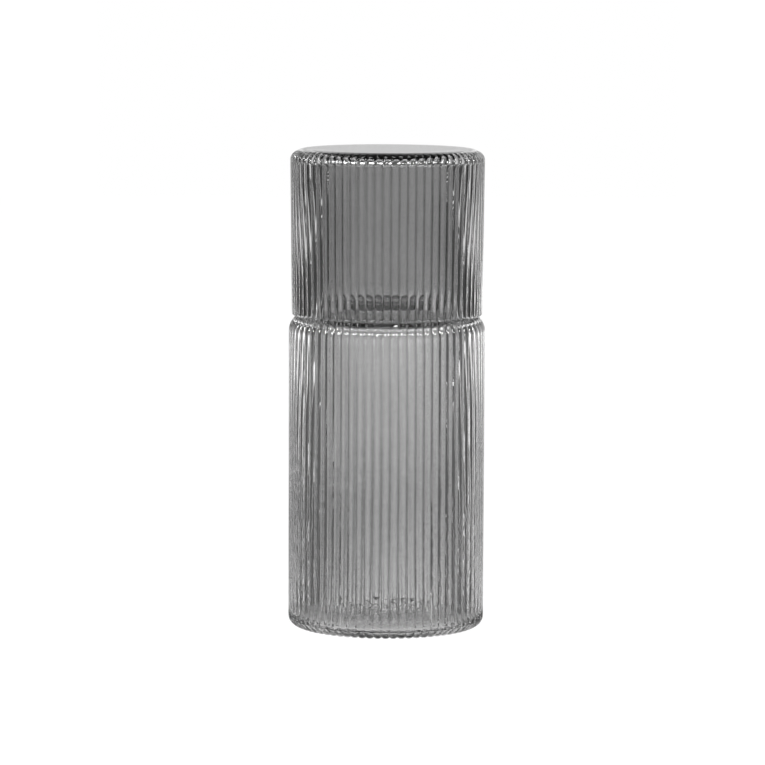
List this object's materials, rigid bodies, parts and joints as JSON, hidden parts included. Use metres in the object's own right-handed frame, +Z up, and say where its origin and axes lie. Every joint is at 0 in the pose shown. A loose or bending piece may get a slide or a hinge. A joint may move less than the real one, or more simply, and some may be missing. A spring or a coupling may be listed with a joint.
{
  "type": "bedside carafe with tumbler",
  "caption": "Smoke-grey ribbed glass carafe with a rounded shoulder and short neck, topped by its matching tumbler turned upside down over the neck.",
  "frame": {"origin": "centre of the foot, on the surface that the carafe stands on", "axes": "+Z up along the common axis of carafe and tumbler, +X to the right and -Y towards the viewer of the picture"},
  "size_m": [0.09, 0.09, 0.2199],
  "materials": {
    "carafe_glass": "clear smoke-grey, fire-polished",
    "tumbler_glass": "clear smoke-grey, fire-polished"
  },
  "bodies": {
    "carafe": {"carafe": "carafe_glass"},
    "tumbler": {"tumbler": "tumbler_glass"}
  },
  "joints": [
    {"name": "tumbler_lift", "type": "slide", "parent": "carafe", "child": "tumbler", "axis": [0, 0, 1], "range_m": [0, 0.1]}
  ]
}
